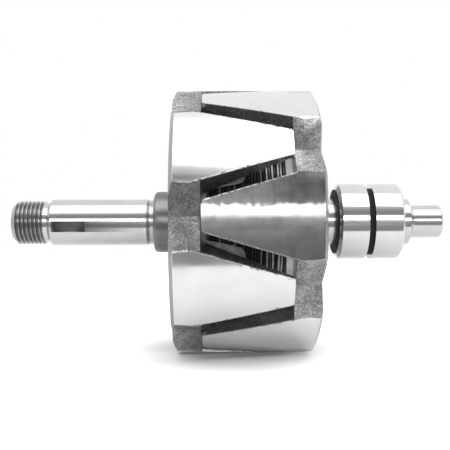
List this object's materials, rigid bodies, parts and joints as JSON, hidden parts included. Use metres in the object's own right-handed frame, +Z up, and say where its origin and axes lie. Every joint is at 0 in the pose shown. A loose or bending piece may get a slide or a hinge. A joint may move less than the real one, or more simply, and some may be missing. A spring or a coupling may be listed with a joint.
{
  "type": "claw-pole alternator rotor",
  "caption": "Claw-pole rotor of an alternator: keyed, threaded shaft, interleaved pole pieces round a field coil, and slip rings beside the rear bearing seat.",
  "frame": {"origin": "On the shaft's axis, at the middle of its length.", "axes": "+X along the shaft from the threaded drive end to the slip-ring end, +Z up as the rotor lies on its poles, -Y faces the camera of the picture."},
  "size_m": [0.1582, 0.0962, 0.0962],
  "materials": {
    "ground_steel": "ground",
    "collar_steel": "matt, as turned",
    "forged_steel": "rough forging, turned over the claws",
    "core_iron": "machined",
    "bobbin_plastic": "moulded",
    "winding": "varnished wire",
    "black_moulding": "moulded",
    "ring_metal": "polished"
  },
  "bodies": {
    "root": {"shaft": "ground_steel", "spacer_collar": "collar_steel", "drive_end_claw_pole": "forged_steel", "slip_ring_end_claw_pole": "forged_steel", "field_core": "core_iron", "coil_bobbin": "bobbin_plastic", "field_winding": "winding", "slip_ring_insulator": "black_moulding", "inner_slip_ring": "ring_metal", "outer_slip_ring": "ring_metal"}
  },
  "joints": []
}
